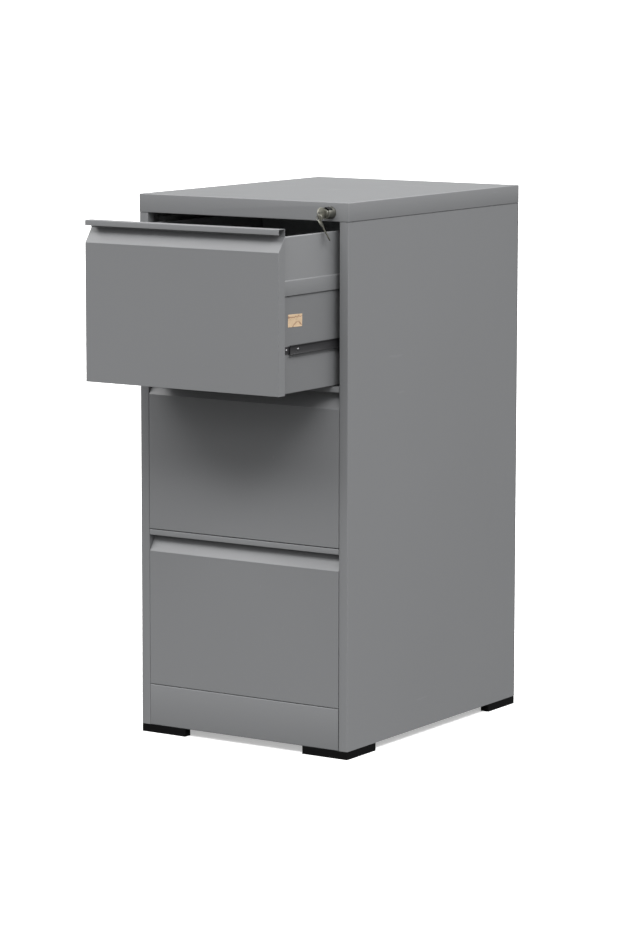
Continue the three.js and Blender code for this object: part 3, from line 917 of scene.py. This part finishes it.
def build_label():
    """A thin paper sticker, a little askew, whose lower and rear edges have begun to lift."""
    wall = box_mm("side_label")[0].x
    centre = LABEL_CENTRE / MM
    half_y, half_z = LABEL_HALF
    cols, rows = 16, 8
    tilt = math.radians(LABEL_TILT)
    layers = []
    for back in (True, False):
        grid = []
        for r in range(rows + 1):
            for c in range(cols + 1):
                u, v = c / cols * 2 - 1, r / rows * 2 - 1
                lift = LABEL_REAR_LIFT * max(0.0, u - 0.6) ** 2 * (v + 1)
                lift += LABEL_LOW_LIFT * max(0.0, -v - 0.5) ** 2
                x = wall - LABEL_BURIED if back else wall + LABEL_PROUD + lift
                y = centre.y + u * half_y * math.cos(tilt) - v * half_z * math.sin(tilt)
                z = centre.z + u * half_y * math.sin(tilt) + v * half_z * math.cos(tilt)
                grid.append((x, y, z))
        layers.append(grid)
    bm = bmesh.new()
    verts = [bm.verts.new(p) for grid in layers for p in grid]
    row = cols + 1
    layer = row * (rows + 1)
    for r in range(rows):
        for c in range(cols):
            a = r * row + c
            for k in (0, layer):
                bm.faces.new([verts[k + i] for i in (a, a + 1, a + row + 1, a + row)])
    rim = [*range(row), *(r * row + cols for r in range(1, rows + 1))]
    rim += [*range(rows * row + cols - 1, rows * row - 1, -1), *(r * row for r in range(rows - 1, 0, -1))]
    for a, b in zip(rim, rim[1:] + rim[:1]):
        bm.faces.new([verts[i] for i in (a, b, b + layer, a + layer)])
    dress(finished("paper_label", bm), PAPER, "drawer_1", "label_paper", "side_label")


# ---------------------------------------------------------------- lock


def build_lock():
    """The barrel with its black pad, the rod and wedge behind it, and the turning plug."""
    x, z = lock_axis()
    centre = (x, 0, z)
    low, high = box_mm("lock_plunger")
    face, rod_end = low.y, high.y
    floor, end = FRONT_Y + BORE_FLOOR, FRONT_Y + BARREL_END
    rim = [(radius, face + y) for radius, y in BARREL_MOUTH + BARREL_GROOVE]
    profile = [(0, floor), (BORE_RADIUS, floor), *rim, (BARREL_RADIUS, end), (0, end)]
    barrel = lathe("lock_barrel", profile, centre, 96)
    dress(barrel, CHROME, "lock_plunger", "lock_chrome", "lock_plunger")
    # A small black plastic pad set into the top of the barrel's rim makes the barrel dark there.
    sector = [*arc((x, z), *PAD_OUTER, 12), *arc((x, z), *PAD_INNER, 6)]
    pad = prism("lock_black_pad", sector, "Y", (face - 0.05, face + PAD_LENGTH))
    soften(pad, 0.15, 2, 40)
    dress(pad, PLASTIC, "lock_plunger", "lock_chrome")

    back = rod_end - WEDGE_LENGTH
    profile = [(0, end + 0.1), (3.6, end + 0.1), (ROD_RADIUS, end + 0.6), (ROD_RADIUS, back), (0, back)]
    dress(lathe("lock_rod", profile, centre), ZINC, "lock_plunger", "lock_chrome")
    half_x, half_z = WEDGE_HALF
    bottom, top = z - half_z, z + half_z
    wedge = [(back, bottom), (rod_end - WEDGE_SLOPE, bottom), (rod_end, top), (back, top)]
    cam = prism("lock_wedge", wedge, "X", (x - half_x, x + half_x))
    soften(cam, 0.5, 2, 30)
    dress(cam, ZINC, "lock_plunger", "lock_chrome")

    low, high = box_mm("lock_plug")
    face, end = low.y, high.y
    profile = [*((radius, face + y) for radius, y in PLUG_FACE), (PLUG_RADIUS, end), (0, end)]
    plug = lathe("lock_core", profile, centre, 72)
    half_x, half_z = KEYWAY_HALF
    left, right, bottom, top = x - half_x, x + half_x, z - half_z, z + half_z
    keyway = [(left, bottom), (right, bottom), (right, top), (left, top)]
    drill(plug, prism("slot_tool", keyway, "Y", (face - 2, FRONT_Y + 1)))
    dress(plug, CHROME, "lock_plug", "lock_chrome", "lock_plug")


def build_spring():
    """The coil behind the barrel, drawn over the CAD spring's length on a mesh of its own."""
    low, high = box_mm("lock_spring")
    middle = (low + high) / 2
    coil = (high.x - low.x) / 2 - SPRING_WIRE
    first, last = low.y + SPRING_WIRE, high.y - SPRING_WIRE
    steps = SPRING_TURNS * 24
    section = arc((coil, 0), SPRING_WIRE, 0, 324, 9)
    loops = []
    for k in range(steps + 1):
        angle = 2 * math.pi * SPRING_TURNS * k / steps
        y = first + (last - first) * k / steps
        c, s = math.cos(angle), math.sin(angle)
        loops.append([(middle.x + out * c, y + rise, middle.z + out * s) for out, rise in section])
    bm = bmesh.new()
    add_loops(bm, loops)
    spring = finished("coil_spring", bm)
    dress(spring, BRIGHT, "case", "spring_steel", "lock_spring")
    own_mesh(spring)


def key_outline(bow, tip):
    """A round bow running into a notched blade, as (along, across) points in mm."""
    half = KEY_BLADE / 2
    start = math.degrees(math.asin(half / bow))
    points = arc((0, 0), bow, start, 360 - start, 40)
    points += [(tip - half, -half), (tip, -half / 3), (tip, half / 3), (tip - half, half)]
    step = (tip - half - bow - KEY_SHOULDER) / len(KEY_NOTCHES)
    for i, bite in enumerate(KEY_NOTCHES):
        at = tip - half - step * (i + 0.5)
        points += [(at + step / 4, half), (at, half - bite), (at - step / 4, half)]
    return points


def cut_key(name, bow, tip, eye, matrix):
    """A key stamped from sheet, with a hole in its bow and eased edges."""
    curve = bpy.data.curves.new(name, "CURVE")
    curve.dimensions = "2D"
    curve.fill_mode = "BOTH"
    curve.extrude = (KEY_GAUGE / 2 - KEY_EASE) * MM
    curve.bevel_depth = KEY_EASE * MM
    curve.bevel_resolution = 1
    curve.offset = -KEY_EASE * MM
    for points in (key_outline(bow, tip), arc((eye[0], 0), eye[1], 360, 12, 28)):
        spline = curve.splines.new("POLY")
        spline.points.add(len(points) - 1)
        for target, point in zip(spline.points, points):
            target.co = (point[0] * MM, point[1] * MM, 0, 1)
        spline.use_cyclic_u = True
    source = bpy.data.objects.new(name + "_curve", curve)
    bpy.context.scene.collection.objects.link(source)
    graph = bpy.context.evaluated_depsgraph_get()
    mesh = bpy.data.meshes.new_from_object(source.evaluated_get(graph))
    bpy.data.objects.remove(source)
    bm = bmesh.new()
    bm.from_mesh(mesh)
    bmesh.ops.transform(bm, matrix=Matrix.Scale(1 / MM, 4), verts=bm.verts)
    bmesh.ops.transform(bm, matrix=matrix, verts=bm.verts)
    return finished(name, bm)


def build_keys():
    """The key in the plug, the ring through its eye, and the spare key that hangs from the ring."""
    x, z = lock_axis()
    low, high = box_mm("key")
    bow = (high.z - low.z) / 2
    centre_y = low.y + bow
    basis = Matrix(((0, 0, 1, x), (1, 0, 0, centre_y), (0, 1, 0, z), (0, 0, 0, 1)))
    key = cut_key("cut_key", bow, high.y - centre_y, KEY_EYE, basis)
    dress(key, KEY_METAL, "key", "key_steel", "key")

    low, high = box_mm("key_ring")
    ring_centre = (low + high) / 2 + Vector(RING_LEAN)
    radius = (high.x - low.x) / 2 - RING_WIRE
    turns = [2 * math.pi * k / 12 for k in range(13)]
    wire = [(radius + RING_WIRE * math.cos(turn), RING_WIRE * math.sin(turn)) for turn in turns]
    ring = lathe("split_ring", wire, ring_centre)
    dress(ring, KEY_METAL, "key_ring", "key_steel", "key_ring")

    origin = Vector((x, FRONT_Y, z))
    top = origin + Vector(SPARE_TOP)
    tip = origin + Vector(SPARE_TIP)
    along = (tip - top).normalized()
    across = Vector(SPARE_ACROSS)
    across = (across - along * across.dot(along)).normalized()
    across = Matrix.Rotation(math.radians(SPARE_ROLL), 3, along) @ across
    basis = Matrix((along, across, along.cross(across))).transposed().to_4x4()
    basis.translation = top + along * SPARE_BOW
    spare = cut_key("spare_cut_key", SPARE_BOW, (tip - top).length - SPARE_BOW, SPARE_EYE, basis)
    # The spare key takes the darkened nickel, which is painted shade.
    dress(spare, SPARE_NICKEL_SHADED, "spare_key", "key_steel", "spare_key")


# ---------------------------------------------------------------- assembly

add_camera()
add_sky()
add_floor()
bpy.context.scene.view_settings.view_transform = "Standard"
for word, side in SIDES.items():
    build_side(word, side)
build_cap()
build_plinth()
build_back()
build_feet()
for n in DRAWERS:
    build_drawer(n)
    for word, side in SIDES.items():
        slide_members(n, word, side)
        ball_cage(n, word, side)
build_label()
build_lock()
build_spring()
build_keys()
repaint("base_pan", PAINT)
for corner in CORNERS:
    repaint(f"slide_post_{corner}", PAINT)
for node in ("lock_housing", "lock_bar", "lock_bar_guide", *(f"lock_hook_{n}" for n in DRAWERS)):
    repaint(node, ZINC)
